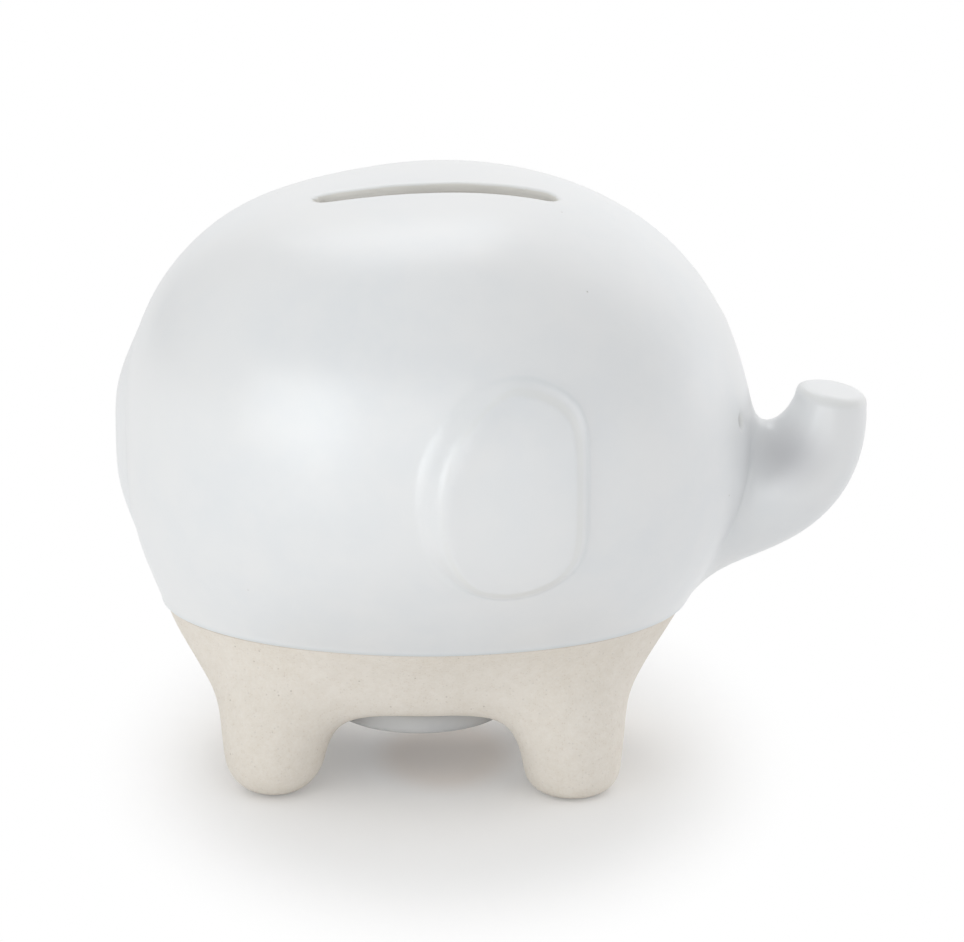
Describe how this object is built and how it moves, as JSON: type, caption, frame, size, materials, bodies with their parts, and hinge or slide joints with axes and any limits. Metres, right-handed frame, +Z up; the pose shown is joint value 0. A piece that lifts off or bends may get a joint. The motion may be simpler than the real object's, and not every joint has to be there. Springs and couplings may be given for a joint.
{
  "type": "elephant coin bank",
  "caption": "Hollow stoneware elephant coin bank with a glazed upper body, a coin slot in its back and a pull-out stopper in its belly.",
  "frame": {"origin": "on the floor that the feet stand on, below the middle of the figure from tail to trunk; the stopper and the middle of the four feet are 14.4 mm behind it", "axes": "+X towards the trunk, +Z up out of the coin slot, mirrored about the XZ plane"},
  "size_m": [0.1532, 0.1128, 0.1236],
  "materials": {
    "stoneware": "bare speckled stoneware, matt",
    "glaze": "satin white glaze",
    "stopper": "frosted soft plastic"
  },
  "bodies": {
    "bank": {"stoneware_body": "stoneware", "glaze_coat": "glaze"},
    "stopper": {"stopper": "stopper"}
  },
  "joints": [
    {"name": "stopper_pull", "type": "slide", "parent": "bank", "child": "stopper", "axis": [0, 0, -1], "range_m": [0, 0.03]}
  ]
}
